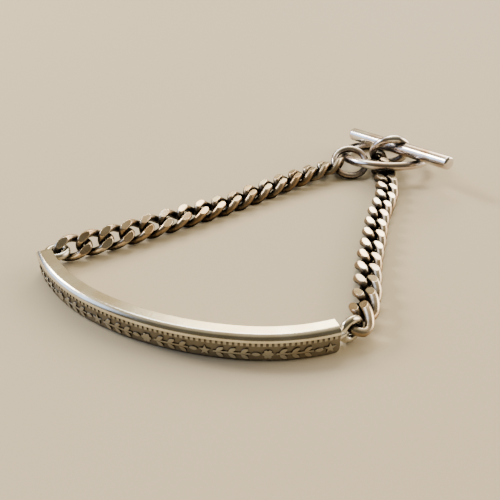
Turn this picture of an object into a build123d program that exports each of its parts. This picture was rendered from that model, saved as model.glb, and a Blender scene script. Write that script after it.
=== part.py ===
"""A silver bracelet: a bar cut from a coin's rim, two curb chains and a T-bar toggle, laid on a table."""
import math
import os

from build123d import *

# Coin bar, seen from outside with the coin's rim on top
BAR_LENGTH = 57.5
BAR_HEIGHT = 4.5
BAR_THICKNESS = 2.5
BAR_START = (-39.05, -15.17)
BAR_START_HEADING = -64.3
OUTER_ROUNDING = 1.0
INNER_ROUNDING = 1.1
FOOT_ROUNDING = 0.2
END_ROUNDING = 0.9

# Bends of the bar from its left end, as shares of its length with their radii
BEND_SHARE, BEND_RADIUS = 0, 1
BENDS = (
    (0.31, 35.0),
    (0.45, 49.3),
    (0.24, 32.0),
)

# Coin relief on the outer face: rim, border teeth and a band of leaves, rosettes and stars
RIM_HEIGHT = 1.15
RELIEF = 0.22
TOOTH_PITCH = 0.8
TOOTH_WIDTH = 0.44
TOOTH_HEIGHT = 0.6
TOOTH_DEPTH = 0.17
BAND_SHARE = 0.52
MOTIF_SHARE = 0.66
MOTIF_DEPTH = 0.19
MOTIF_ROOT = 0.15
SPRIGS = 6
STAR_POINTS = 5
LEAF_PAIRS = 3
LEAF_LENGTH = 1.3
LEAF_WIDTH = 0.62
LEAF_ANGLE = 34
STEM_WIDTH = 0.3
BAND_MARGIN = 1.6

# Soldered loops at the bar's two ends: how far each is turned from the bar's line and tilted on its neck
LOOP_RADIUS = 1.65
LOOP_WIRE = 1.3
LOOP_REACH = 2.58
NECK_DIAMETER = 1.7
LEFT_LOOP_TURN = -61.1
RIGHT_LOOP_TURN = 15.6
LEFT_LOOP_TILT = 90.0
RIGHT_LOOP_TILT = 0.0

# Curb chain
LINK_PITCH = 3.97
LINK_WIRE = 1.4
LINK_WIDTH = 4.72
LINK_THICKNESS = 2.7
LINK_TWIST = 50.0
LINK_FULLNESS = 0.5
LINK_BENDS = 4
GAP = 0.12

# Toggle ring, raised at its near side by the chain that runs under it, and set by its left and near sides
RING_RADIUS = 9.35
RING_WIRE = 1.8
RING_LEFT = 18.35
RING_NEAR = 18.2
RING_NEAR_HEIGHT = 3.98

# Jump ring between the left chain and the toggle ring
JUMP_RADIUS = 3.5
JUMP_WIRE = 1.4
JUMP_MIDDLE = (19.1, 23.4)
JUMP_SLOPE = 32.0

# T-bar with its soldered eye: it reaches over the ring on both sides
ROD_DIAMETER = 2.8
ROD_MIDDLE = (29.63, 25.04, 5.38)
ROD_HEADING = -56.27
ROD_RISE = 6.85
ROD_OVERHANG = 5.23
ROD_ROUNDING = 0.5
EYE_RADIUS = 3.75
EYE_WIRE = 1.7
EYE_MIDDLE = (28.2, 25.6)
EYE_LEAN = 24.0

TABLE_GAP = 0.02

# Brings the middle of the whole footprint to the origin
CENTRING = (0.2, -0.08)

# Routes of the two chains from the bar's loops to the clasp. The chord runs from the loop's middle to
# the clasp's eye or jump ring: share of the chord, offset to its left, lift and roll of the flat side.
RIGHT_ROUTE = [
    (0.0404, -1.075, 0.899, 39.4),
    (0.1351, -1.333, 0.701, 20.3),
    (0.2990, -0.534, 0.131, -2.4),
    (0.4406, -0.400, 0.070, 0.7),
    (0.5853, -0.300, 0.090, 0.3),
    (0.7414, -0.999, 0.081, -2.1),
    (0.8853, 0.213, 0.163, 4.9),
    (0.9886, 2.455, 0.461, 14.0),
]
LEFT_ROUTE = [
    (0.0420, -0.198, 1.093, -52.8),
    (0.1742, -0.639, 0.919, -41.6),
    (0.3091, -0.537, 0.699, -23.6),
    (0.4512, -0.157, 0.270, -10.4),
    (0.5452, 0.240, 0.050, 0.2),
    (0.7180, 1.050, 0.290, 1.3),
    (0.9372, 1.360, 0.830, 20.2),
]

os.makedirs("parts", exist_ok=True)


def save(piece, label):
    """Names a finished piece and writes it."""
    centred = piece.part.moved(Pos(*CENTRING))
    centred.label = label
    export_step(centred, f"parts/{label}.step")


def bar_path():
    """The outer face's line on the table: arcs that follow on from each other."""
    heading = Vector(1, 0).rotate(Axis.Z, BAR_START_HEADING)
    point = Vector(*BAR_START)
    with BuildLine() as line:
        for row in BENDS:
            length = row[BEND_SHARE] * BAR_LENGTH
            turn = math.degrees(length / row[BEND_RADIUS])
            arc = JernArc(point, heading, row[BEND_RADIUS], turn)
            point = arc @ 1
            heading = arc % 1
    return line.wires()[0]


def face_plane(path, distance, height, depth=0.0):
    """A plane on the bar's outer face, looking outward, its X along the bar and its Y up."""
    along = path.tangent_at(distance / path.length)
    outward = along.rotate(Axis.Z, -90)
    origin = path.position_at(distance / path.length) - outward * depth + Vector(0, 0, height)
    return Plane(origin=origin, x_dir=along, z_dir=outward)


def section_plane(path):
    """The plane across the bar's left end: X goes inward through the thickness, Y goes up."""
    along = path.tangent_at(0)
    return Plane(origin=path.position_at(0), x_dir=along.rotate(Axis.Z, 90), z_dir=along)


def end_plane(path, at_right_end, turn):
    """The plane of a soldered loop: X points away from the bar, Y goes up."""
    share = 1 if at_right_end else 0
    along = path.tangent_at(share) * (1 if at_right_end else -1)
    inward = path.tangent_at(share).rotate(Axis.Z, 90)
    reach = along.rotate(Axis.Z, turn)
    height = LOOP_RADIUS + LOOP_WIRE / 2 + TABLE_GAP
    origin = path.position_at(share) + inward * (BAR_THICKNESS / 2) + Vector(0, 0, height)
    return Plane(origin=origin, x_dir=reach, z_dir=reach.cross(Vector(0, 0, 1)))


def star(points, outer, inner):
    """The corners of a star."""
    corners = []
    for step in range(2 * points):
        radius = outer if step % 2 == 0 else inner
        angle = math.radians(90 + 180 * step / points)
        corners.append((radius * math.cos(angle), radius * math.sin(angle)))
    return corners


def leaf(length, width):
    """A pointed leaf from its foot along X: two arcs that meet in points."""
    with BuildSketch() as shape:
        with BuildLine():
            ThreePointArc((0, 0), (length / 2, width / 2), (length, 0))
            ThreePointArc((length, 0), (length / 2, -width / 2), (0, 0))
        make_face()
    return shape.sketch


def bar_motifs(path):
    """The raised band: leaf sprigs, with a star or a rosette between them."""
    span = (BAR_LENGTH - 2 * BAND_MARGIN) / SPRIGS
    field_height = BAR_HEIGHT - RIM_HEIGHT - TOOTH_HEIGHT
    middle = field_height * BAND_SHARE
    radius = field_height * MOTIF_SHARE / 2
    sunk = RELIEF + MOTIF_ROOT
    leaf_shape = leaf(LEAF_LENGTH, LEAF_WIDTH)
    with BuildPart() as motifs:
        for sprig in range(SPRIGS + 1):
            place = face_plane(path, BAND_MARGIN + sprig * span, middle, sunk)
            with BuildSketch(place):
                if sprig % 2 == 0:
                    Polygon(*star(STAR_POINTS, radius, radius * 0.42), align=None)
                else:
                    with PolarLocations(radius * 0.58, 6):
                        Circle(radius * 0.3)
                    Circle(radius * 0.34)
            extrude(amount=MOTIF_ROOT + MOTIF_DEPTH)
        for sprig in range(SPRIGS):
            stem = span - 2 * radius - 2 * STEM_WIDTH
            step = (stem - LEAF_LENGTH) / LEAF_PAIRS
            first = BAND_MARGIN + sprig * span + radius + STEM_WIDTH
            for pair in range(LEAF_PAIRS):
                place = face_plane(path, first + (pair + 0.25) * step, middle, sunk)
                with BuildSketch(place):
                    for side in (1, -1):
                        with Locations(Location((0, side * STEM_WIDTH / 2, 0), (0, 0, side * LEAF_ANGLE))):
                            add(leaf_shape)
                extrude(amount=MOTIF_ROOT + MOTIF_DEPTH)
                with BuildSketch(face_plane(path, first + (pair + 0.5) * step, middle, sunk)):
                    Rectangle(step * 1.02, STEM_WIDTH)
                extrude(amount=MOTIF_ROOT + MOTIF_DEPTH * 0.8)
            tip = face_plane(path, first + (LEAF_PAIRS + 0.1) * step, middle, sunk)
            with BuildSketch(tip):
                add(leaf_shape)
            extrude(amount=MOTIF_ROOT + MOTIF_DEPTH)
    return motifs


def coin_bar():
    """The bar with its relief and its two soldered loops, one solid."""
    path = bar_path()
    teeth = int((BAR_LENGTH - END_ROUNDING - TOOTH_WIDTH) / TOOTH_PITCH) + 1
    first = (BAR_LENGTH - (teeth - 1) * TOOTH_PITCH) / 2
    rim_foot = BAR_HEIGHT - RIM_HEIGHT
    with BuildPart() as bar:
        with BuildSketch(section_plane(path)) as section:
            with BuildLine():
                Polyline(
                    (RELIEF, 0),
                    (RELIEF, rim_foot),
                    (0, rim_foot + RELIEF / 2),
                    (0, BAR_HEIGHT),
                    (BAR_THICKNESS, BAR_HEIGHT),
                    (BAR_THICKNESS, 0),
                    close=True,
                )
            make_face()
            top = section.vertices().group_by(Axis.Y)[-1].sort_by(Axis.X)
            fillet(top[0], radius=OUTER_ROUNDING)
            fillet(top[-1], radius=INNER_ROUNDING)
            fillet(section.vertices().group_by(Axis.Y)[0], radius=FOOT_ROUNDING)
        sweep(path=path)
        tooth_height = rim_foot - TOOTH_HEIGHT / 2 + RELIEF / 2
        places = []
        for tooth in range(teeth):
            distance = first + tooth * TOOTH_PITCH
            places.append(face_plane(path, distance, tooth_height, RELIEF).location)
        with Locations(*places):
            Box(TOOTH_WIDTH, TOOTH_HEIGHT, 2 * TOOTH_DEPTH)
        add(bar_motifs(path).part)
        for distance, side in ((0, -1), (BAR_LENGTH, 1)):
            with BuildSketch(face_plane(path, distance, BAR_HEIGHT / 2, -BAR_THICKNESS)):
                with Locations((side * (BAR_HEIGHT / 2 - END_ROUNDING), 0)):
                    Rectangle(BAR_HEIGHT, 2 * BAR_HEIGHT)
                with Locations((-side * BAR_HEIGHT, 0)):
                    RectangleRounded(2 * BAR_HEIGHT, BAR_HEIGHT, END_ROUNDING, mode=Mode.SUBTRACT)
            extrude(amount=-3 * BAR_THICKNESS, mode=Mode.SUBTRACT)
        ends = ((False, LEFT_LOOP_TURN, LEFT_LOOP_TILT), (True, RIGHT_LOOP_TURN, RIGHT_LOOP_TILT))
        for at_right_end, turn, tilt in ends:
            plane = end_plane(path, at_right_end, turn)
            with Locations(plane * Pos(LOOP_REACH, 0, 0) * Rot(tilt, 0, 0)):
                Torus(LOOP_RADIUS, LOOP_WIRE / 2)
            neck = LOOP_REACH - LOOP_RADIUS
            with Locations(plane * Pos(neck / 2, 0, 0) * Rot(0, 90, 0)):
                Cylinder(NECK_DIAMETER / 2, neck + LOOP_WIRE / 4)
    return bar


def link_point(share):
    """A point of the link's centre line, the share of a full turn from its end."""
    turn = 2 * math.pi * share
    along = math.cos(turn)
    across = (LINK_WIDTH - LINK_WIRE) / 2 * math.sin(turn) * (1 + LINK_FULLNESS * along**2)
    twist = -math.radians(LINK_TWIST) * (1.5 * along - 0.5 * along**3)
    half_length = (LINK_PITCH + GAP + LINK_WIRE) / 2
    return Vector(half_length * along, across * math.cos(twist), across * math.sin(twist))


def link_heading(share):
    """The direction of the link's centre line at a share of a full turn."""
    return (link_point(share + 1e-5) - link_point(share - 1e-5)).normalized()


def curb_link():
    """One twisted oval link along X, filed flat above and below, from two equal bent halves."""
    with BuildPart() as half:
        with BuildLine() as centre:
            for bend in range(LINK_BENDS):
                shares = (bend / LINK_BENDS / 2, (bend + 1) / LINK_BENDS / 2)
                start, end = (link_point(share) for share in shares)
                leaving, arriving = (link_heading(share) for share in shares)
                chord = end - start
                spread = 1 - leaving.dot(arriving)
                lean = chord.dot(leaving + arriving)
                reach = (math.sqrt(lean**2 + 2 * spread * chord.dot(chord)) - lean) / (2 * spread)
                joint = (start + end + (leaving - arriving) * reach) * 0.5
                TangentArc(start, joint, tangent=leaving)
                middle = (joint - start).normalized()
                TangentArc(joint, end, tangent=middle * 2 * leaving.dot(middle) - leaving)
        with BuildSketch(Plane(origin=link_point(0), z_dir=link_heading(0))):
            Circle(LINK_WIRE / 2)
        sweep(path=centre.wires()[0])
    with BuildPart() as link:
        with Locations(Location((0, 0, 0)), Location((0, 0, 0), (180, 0, 0))):
            add(half.part)
        Box(3 * LINK_PITCH, 2 * LINK_WIDTH, LINK_THICKNESS, mode=Mode.INTERSECT)
    return link


def smooth_route(rows, steps=60):
    """Points with roll along a smooth line through the rows."""
    first = [2 * a - b for a, b in zip(rows[0], rows[1])]
    last = [2 * a - b for a, b in zip(rows[-1], rows[-2])]
    rows = [first, *rows, last]
    route = []
    for index in range(1, len(rows) - 2):
        before, start, end, after = rows[index - 1:index + 3]
        for step in range(steps):
            t = step / steps
            point = []
            for p, a, b, n in zip(before, start, end, after):
                bend = 2 * p - 5 * a + 4 * b - n
                point.append(a + ((b - p) * t + bend * t**2 + (3 * a - p - 3 * b + n) * t**3) / 2)
            route.append(point)
    route.append(list(rows[-2]))
    return route


def loop_middle(at_right_end):
    """The middle of a soldered loop."""
    turn = RIGHT_LOOP_TURN if at_right_end else LEFT_LOOP_TURN
    plane = end_plane(bar_path(), at_right_end, turn)
    return plane.origin + plane.x_dir * LOOP_REACH


def laid_route(start, end, rows):
    """Places and rolls from a route's rows, laid out along the chord between two middles."""
    chord = Vector(end[0] - start.X, end[1] - start.Y)
    aside = chord.normalized().rotate(Axis.Z, 90)
    lying = LINK_THICKNESS / 2 + TABLE_GAP
    route = []
    for share, offset, lift, roll in rows:
        place = Vector(start.X, start.Y) + chord * share + aside * offset
        route.append((place.X, place.Y, lying + lift, roll))
    return route


def chain_planes(rows):
    """A plane for each link of a chain, spread evenly along its route."""
    route = smooth_route(rows)
    marks = [0.0]
    for a, b in zip(route, route[1:]):
        marks.append(marks[-1] + math.dist(a[:3], b[:3]))
    spaces = math.ceil(marks[-1] / LINK_PITCH)
    pitch = marks[-1] / spaces

    def at(distance):
        distance = min(max(distance, 0), marks[-1])
        index = next(i for i, mark in enumerate(marks[1:]) if mark >= distance - 1e-9)
        share = (distance - marks[index]) / (marks[index + 1] - marks[index])
        return [a + (b - a) * share for a, b in zip(route[index], route[index + 1])]

    planes = []
    for link in range(spaces + 1):
        x, y, z, roll = at(link * pitch)
        ahead = at((link + 0.5) * pitch)
        behind = at((link - 0.5) * pitch)
        along = (Vector(*ahead[:3]) - Vector(*behind[:3])).normalized()
        side = Vector(0, 0, 1).cross(along).normalized()
        up = along.cross(side)
        angle = math.radians(roll)
        normal = up * math.cos(angle) + side * math.sin(angle)
        planes.append(Plane(origin=(x, y, z), x_dir=along, z_dir=normal))
    return planes


def toggle_ring():
    """The round ring that the T-bar passes through, lying on the chain and the table."""
    far_height = RING_WIRE / 2 + TABLE_GAP
    tilt = math.asin((RING_NEAR_HEIGHT - far_height) / (2 * RING_RADIUS))
    middle = Vector(
        RING_LEFT + RING_RADIUS,
        RING_NEAR + RING_RADIUS * math.cos(tilt),
        (RING_NEAR_HEIGHT + far_height) / 2,
    )
    normal = Vector(0, math.sin(tilt), math.cos(tilt))
    with BuildPart() as ring:
        with Locations(Plane(origin=middle, x_dir=(1, 0, 0), z_dir=normal)):
            Torus(RING_RADIUS, RING_WIRE / 2)
    return ring


def jump_ring():
    """The small round ring that leans between the left chain and the toggle ring."""
    slope = math.radians(JUMP_SLOPE)
    middle = Vector(*JUMP_MIDDLE, JUMP_WIRE / 2 + TABLE_GAP + JUMP_RADIUS * math.sin(slope))
    normal = Vector(0, -math.sin(slope), math.cos(slope))
    with BuildPart() as ring:
        with Locations(Plane(origin=middle, x_dir=(1, 0, 0), z_dir=normal)):
            Torus(JUMP_RADIUS, JUMP_WIRE / 2)
    return ring


def t_bar():
    """The round rod with its eye soldered round it, one solid."""
    along = Vector(1, 0).rotate(Axis.Y, -ROD_RISE).rotate(Axis.Z, ROD_HEADING)
    length = 2 * (RING_RADIUS + ROD_OVERHANG)
    lean = math.radians(EYE_LEAN)
    eye_middle = Vector(*EYE_MIDDLE, EYE_WIRE / 2 + TABLE_GAP + EYE_RADIUS * math.cos(lean))
    eye_normal = Vector(0, -math.cos(lean), -math.sin(lean))
    with BuildPart() as bar:
        with Locations(Plane(origin=ROD_MIDDLE, z_dir=along)):
            Cylinder(ROD_DIAMETER / 2, length)
        fillet(bar.edges().filter_by(GeomType.CIRCLE), radius=ROD_ROUNDING)
        with Locations(Plane(origin=eye_middle, x_dir=(1, 0, 0), z_dir=eye_normal)):
            Torus(EYE_RADIUS, EYE_WIRE / 2)
    return bar


save(coin_bar(), "coin_bar")
save(toggle_ring(), "toggle_ring")
save(jump_ring(), "jump_ring")
save(t_bar(), "t_bar")

link = curb_link()
left_route = laid_route(loop_middle(False), JUMP_MIDDLE, LEFT_ROUTE)
right_route = laid_route(loop_middle(True), EYE_MIDDLE, RIGHT_ROUTE)
for chain, route in (("left", left_route), ("right", right_route)):
    for number, plane in enumerate(chain_planes(route), start=1):
        with BuildPart() as placed:
            with Locations(plane):
                add(link.part)
        save(placed, f"link_{chain}_{number:02d}")
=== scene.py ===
"""The coin-rim bracelet as in the photo: CAD pieces in worn, oxidised silver on a pale floor."""
import math

import bpy
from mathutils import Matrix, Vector

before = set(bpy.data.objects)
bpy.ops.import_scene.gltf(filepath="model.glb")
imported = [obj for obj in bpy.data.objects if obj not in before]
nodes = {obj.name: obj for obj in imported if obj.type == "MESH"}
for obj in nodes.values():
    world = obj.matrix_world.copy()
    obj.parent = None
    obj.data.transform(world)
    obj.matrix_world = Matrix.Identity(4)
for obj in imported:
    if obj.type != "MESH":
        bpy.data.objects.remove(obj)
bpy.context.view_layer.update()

MM = 0.001

# The bar's outer face in plan, from its left end, as in the CAD: arc lengths and radii in mm
BAR_START = (-38.85, -15.25)
BAR_HEADING = -64.3
BENDS = ((17.825, 35.0), (25.875, 49.3), (13.8, 32.0))
RELIEF = 0.22
RIM_FOOT = 3.35

# Patina on the bar, from none at 0 to full at 1, with the inner part browned on the same scale,
# and the depths in mm below its outer face where the sunk field, the relief's slopes and the inner
# part start
FIELD_PATINA = 0.9
SLOPE_PATINA = 0.7
CREST_PATINA = 0.45
INNER_BROWNING = 0.4
FIELD_DEPTH = 0.17
SLOPE_DEPTH = 0.07
INNER_DEPTH = 1.6

# How far, in mm, the patina may reach past the relief: over its top, in front of it and behind it
OVER_RELIEF = 0.12
BEFORE_RELIEF = 0.1
BEHIND_RELIEF = 0.08

# A face stands upright where its normal is this level, and is a top where it points up this much
UPRIGHT = 0.7
TOP = 0.93

# Patina on a link: its most, how squarely a bare face has to look the filed way, and the fade
LINK_PATINA = 0.8
FILED_WAY = 0.97
LINK_FADE = 0.6

# Sizes of the patterns in the silver, and the depth of its scratches, in mm
PATCH_SIZE = 5.0
SPECK_SIZE = 0.5
SCRATCH_DEPTH = 0.02

# How the silver's layers mix: the raggedness and fullness of the black, which is oxide and painted
# shade, the part of the patches' range that tarnishes, the roughness of dull silver and what the
# specks add to any roughness
OXIDE_AND_SHADE_RAGGED = 0.5
OXIDE_AND_SHADE_FULL = 0.97
TARNISH_RANGE = (0.35, 0.7)
DULL_ROUGHNESS = 0.5
SPECK_ROUGHNESS = 0.08

FLOOR_WIDTH = 4
FLOOR_TINT = "c4b698"
FLOOR_ROUGHNESS = 0.7

SKY_TINT = "78715f"
SKY_STRENGTH = 0.75

# Each glow: the way to it, the cosines where it starts and is full, its strength and its tint.
# The polished tops mirror the first two, the next two are broad and soft, and the last two light
# the right and left flanks.
GLOWS = (
    ((0.08, 0.74, 0.67), 0.965, 0.995, 8.0, "ffefc8"),
    ((0.3, 0.83, 0.47), 0.965, 0.995, 10.0, "fff4e0"),
    ((0.0, 0.8, 0.6), 0.6, 1.0, 0.7, "e6cfa0"),
    ((-0.1, 0.3, 0.95), 0.6, 1.0, 0.6, "ffeeca"),
    ((0.9, 0.25, 0.35), 0.84, 0.98, 7.0, "fff2df"),
    ((-0.9, 0.1, 0.42), 0.86, 0.98, 4.0, "b9d2ff"),
)

# The camera as it stood in the photo, in mm and degrees
CAMERA_PLACE = (-2.8, -103.08, 61.5)
CAMERA_DOWN = 33.0
CAMERA_LENS = 44.93
CAMERA_SENSOR = 36
CAMERA_NEAREST = 5


def colour(code):
    """Linear colour from an sRGB hex code."""
    linear = []
    for start in (0, 2, 4):
        value = int(code[start:start + 2], 16) / 255
        linear.append(value / 12.92 if value <= 0.04045 else ((value + 0.055) / 1.055) ** 2.4)
    return (*linear, 1.0)


def per_metre(size):
    """A texture scale whose features are about this many mm across."""
    return 1 / (size * MM)


def add_node(tree, kind, inputs=None, **settings):
    """Adds a shader node with its settings, and sets or links its inputs."""
    made = tree.nodes.new("ShaderNode" + kind)
    for name, value in settings.items():
        setattr(made, name, value)
    for name, value in (inputs or {}).items():
        if isinstance(value, bpy.types.NodeSocket):
            tree.links.new(value, made.inputs[name])
        else:
            made.inputs[name].default_value = value
    return made


def silver(
        name, bright, warm, patina, oxide_and_shade_tint, polish, oxide_and_shade_reach, oxide_and_shade_edge, tarnish, scratch, roll):
    """Worn silver: bright metal, warm tarnish in soft patches, a brown patina where a face is marked
    as unpolished, and black in every recess: oxide, and painted shade from an occlusion mask that
    also darkens faces close to other pieces and the floor. The black's reach and the edges' roll are in
    mm."""
    material = bpy.data.materials.new(name)
    material.use_nodes = True
    tree = material.node_tree
    tree.nodes.clear()
    place = add_node(tree, "TexCoord").outputs["Object"]
    patches = add_node(
        tree, "TexNoise", {"Vector": place, "Scale": per_metre(PATCH_SIZE), "Detail": 3.0})
    specks = add_node(
        tree, "TexNoise", {"Vector": place, "Scale": per_metre(SPECK_SIZE), "Detail": 4.0})
    shade = add_node(tree, "AmbientOcclusion", {"Distance": oxide_and_shade_reach * MM}, samples=8)
    # Black where the surface is hemmed in, with a ragged edge from the specks: oxide where rubbing
    # can't reach, and painted shade where other pieces or the floor come close
    ragged = add_node(
        tree, "Math", {0: specks.outputs["Fac"], 1: OXIDE_AND_SHADE_RAGGED, 2: shade.outputs["AO"]},
        operation="MULTIPLY_ADD")
    oxide_and_painted_shade = add_node(
        tree, "MapRange",
        {"Value": ragged.outputs[0], "From Min": oxide_and_shade_edge[0], "From Max": oxide_and_shade_edge[1],
         "To Min": OXIDE_AND_SHADE_FULL, "To Max": 0.0}, interpolation_type="SMOOTHSTEP")
    unpolished = add_node(tree, "Attribute", attribute_name="patina")
    dull = add_node(
        tree, "Math", {0: oxide_and_painted_shade.outputs[0], 1: unpolished.outputs["Fac"]}, operation="MAXIMUM")
    # Warm tarnish gives the golden cast between the bright wear and the black
    warmth = add_node(
        tree, "MapRange",
        {"Value": patches.outputs["Fac"], "From Min": TARNISH_RANGE[0],
         "From Max": TARNISH_RANGE[1], "To Min": 0.0, "To Max": tarnish})
    tinted = add_node(
        tree, "Mix", {0: warmth.outputs[0], 6: colour(bright), 7: colour(warm)}, data_type="RGBA")
    browned = add_node(
        tree, "Mix", {0: unpolished.outputs["Fac"], 6: tinted.outputs[2], 7: colour(patina)},
        data_type="RGBA")
    # The black mixed in here is oxide in hollows plus painted shade near other pieces and the floor
    final = add_node(
        tree, "Mix", {0: oxide_and_painted_shade.outputs[0], 6: browned.outputs[2], 7: colour(oxide_and_shade_tint)},
        data_type="RGBA")
    rough = add_node(
        tree, "MapRange",
        {"Value": dull.outputs[0], "From Min": 0.0, "From Max": 1.0, "To Min": polish,
         "To Max": DULL_ROUGHNESS})
    rougher = add_node(
        tree, "Math", {0: specks.outputs["Fac"], 1: SPECK_ROUGHNESS, 2: rough.outputs[0]},
        operation="MULTIPLY_ADD")
    # Filed and soldered edges are never sharp, so the light rolls over them
    edge = add_node(tree, "Bevel", {"Radius": roll * MM}, samples=6)
    wear = add_node(
        tree, "Bump",
        {"Height": specks.outputs["Fac"], "Strength": scratch, "Distance": SCRATCH_DEPTH * MM,
         "Normal": edge.outputs[0]})
    surface = add_node(
        tree, "BsdfPrincipled",
        {"Base Color": final.outputs[2], "Metallic": 1.0, "Roughness": rougher.outputs[0],
         "Normal": wear.outputs[0]})
    add_node(tree, "OutputMaterial", {"Surface": surface.outputs[0]})
    return material


def bar_depth(x, y):
    """How deep a point lies below the bar's outer face, in mm, by the bend that it lies beside."""
    px, py = BAR_START
    heading = math.radians(BAR_HEADING)
    best = None
    for length, radius in BENDS:
        cx = px - radius * math.sin(heading)
        cy = py + radius * math.cos(heading)
        turn = length / radius
        angle = math.atan2(y - cy, x - cx) - (heading - math.pi / 2)
        angle = (angle + math.pi) % (2 * math.pi) - math.pi
        off = max(0.0, -angle, angle - turn)
        if best is None or off < best[0]:
            best = (off, radius - math.hypot(x - cx, y - cy))
        heading += turn
        px = cx + radius * math.sin(heading)
        py = cy - radius * math.cos(heading)
    return best[1]


def mark_bar(piece):
    """Marks the bar as unpolished: most in its sunk field, less on the relief; also browns its inner
    face and the inner side of its top.
    """
    marks = piece.data.attributes.new("patina", "FLOAT", "FACE")
    for face in piece.data.polygons:
        x, y, z = (value / MM for value in face.center)
        depth = bar_depth(x, y)
        upright = math.hypot(face.normal.x, face.normal.y) > UPRIGHT
        under_rim = z < RIM_FOOT + OVER_RELIEF
        value = 0.0
        if upright and under_rim and -BEFORE_RELIEF < depth < RELIEF + BEHIND_RELIEF:
            value = CREST_PATINA
            if depth > FIELD_DEPTH:
                value = FIELD_PATINA
            elif depth > SLOPE_DEPTH:
                value = SLOPE_PATINA
        # The inner face and the inner side of the top are browned
        elif depth > INNER_DEPTH and face.normal.z < TOP:
            value = INNER_BROWNING
        marks.data[face.index].value = value


def mark_link(piece):
    """Marks a link's round sides as unpolished, and leaves its two filed faces bright."""
    # The filed faces are the largest flat ones, so they share a direction with the most area
    areas = {}
    for face in piece.data.polygons:
        key = tuple(round(abs(value), 2) for value in face.normal)
        areas[key] = areas.get(key, 0) + face.area
    filed = Vector(max(areas, key=areas.get))
    marks = piece.data.attributes.new("patina", "FLOAT", "FACE")
    for face in piece.data.polygons:
        facing = Vector(abs(value) for value in face.normal).dot(filed)
        fade = max(0.0, (FILED_WAY - facing) / LINK_FADE)
        marks.data[face.index].value = min(LINK_PATINA, fade)


# Bright where handled, brown to black where not, with painted shade along the foot where the floor
# is close: the bar was cut from an old coin's edge
bar_metal = silver(
    "old coin silver, sawn and polished",
    bright="dedacb", warm="b8a27c", patina="7b7365", oxide_and_shade_tint="1b1814", polish=0.14,
    oxide_and_shade_reach=0.6, oxide_and_shade_edge=(0.66, 1.16), tarnish=0.6, scratch=0.35, roll=0.07)
# Tumbling brightens the links' high places and leaves black oxide between them; the black between
# and under the links is partly painted shade
chain_metal = silver(
    "sterling wire links, oxidised and tumbled",
    bright="e6dcc6", warm="bd9058", patina="7c6241", oxide_and_shade_tint="080706", polish=0.18,
    oxide_and_shade_reach=2.3, oxide_and_shade_edge=(0.84, 1.21), tarnish=0.8, scratch=0.3, roll=0.24)
# Sharp reflections on the open wire and rod, with black only where they nearly touch, partly oxide
# and partly painted shade
clasp_metal = silver(
    "sterling wire and rod, soldered and polished",
    bright="e8e5e2", warm="b38660", patina="8a6c48", oxide_and_shade_tint="0d0c0e", polish=0.12,
    oxide_and_shade_reach=3.0, oxide_and_shade_edge=(0.74, 1.2), tarnish=0.8, scratch=0.2, roll=0.07)

for name, piece in nodes.items():
    metal = clasp_metal
    if name == "coin_bar":
        metal = bar_metal
        mark_bar(piece)
    elif name.startswith("link"):
        metal = chain_metal
        mark_link(piece)
    piece.data.materials.clear()
    piece.data.materials.append(metal)

# Plain pale floor
bpy.ops.mesh.primitive_plane_add(size=FLOOR_WIDTH)
floor = bpy.context.object
floor.name = "floor"
floor_finish = bpy.data.materials.new("pale matt floor")
floor_finish.use_nodes = True
floor_surface = floor_finish.node_tree.nodes["Principled BSDF"]
floor_surface.inputs["Base Color"].default_value = colour(FLOOR_TINT)
floor_surface.inputs["Roughness"].default_value = FLOOR_ROUGHNESS
floor.data.materials.append(floor_finish)


def softbox(name, place, size, power, tint):
    """A rectangular soft light that faces the bracelet: its place and size in metres, power in watts."""
    light = bpy.data.lights.new(name, "AREA")
    light.shape = "RECTANGLE"
    light.size, light.size_y = size
    light.energy = power
    light.color = colour(tint)[:3]
    lamp = bpy.data.objects.new(name, light)
    lamp.location = place
    lamp.rotation_mode = "QUATERNION"
    lamp.rotation_quaternion = (-Vector(place)).to_track_quat("-Z", "Y")
    bpy.context.collection.objects.link(lamp)


softbox("window", (-0.42, 0.2, 0.33), (0.14, 0.14), 2.6, "fff4e2")
softbox("ceiling", (-0.08, 0.3, 0.5), (0.3, 0.1), 1.0, "f8fbff")
softbox("warm card", (0.5, 0.05, 0.2), (0.2, 0.3), 0.4, "ffcf96")

# The sky is an even base with the glows added to it
world = bpy.data.worlds.new("studio")
bpy.context.scene.world = world
world.use_nodes = True
sky = world.node_tree
sky.nodes.clear()
direction = add_node(sky, "TexCoord").outputs["Generated"]
total = add_node(sky, "Background", {"Color": colour(SKY_TINT), "Strength": SKY_STRENGTH})
for toward, start, full, strength, tint in GLOWS:
    nearness = add_node(sky, "VectorMath", {0: direction, 1: toward}, operation="DOT_PRODUCT")
    glow = add_node(
        sky, "MapRange",
        {"Value": nearness.outputs["Value"], "From Min": start, "From Max": full, "To Min": 0.0,
         "To Max": strength}, interpolation_type="SMOOTHSTEP")
    part = add_node(sky, "Background", {"Color": colour(tint), "Strength": glow.outputs[0]})
    total = add_node(sky, "AddShader", {0: total.outputs[0], 1: part.outputs[0]})
add_node(sky, "OutputWorld", {"Surface": total.outputs[0]})

lens = bpy.data.cameras.new("camera")
lens.lens = CAMERA_LENS
lens.sensor_width = CAMERA_SENSOR
lens.clip_start = CAMERA_NEAREST * MM
camera = bpy.data.objects.new("camera", lens)
camera.location = [value * MM for value in CAMERA_PLACE]
camera.rotation_euler = (math.radians(90 - CAMERA_DOWN), 0, 0)
bpy.context.collection.objects.link(camera)
bpy.context.scene.camera = camera
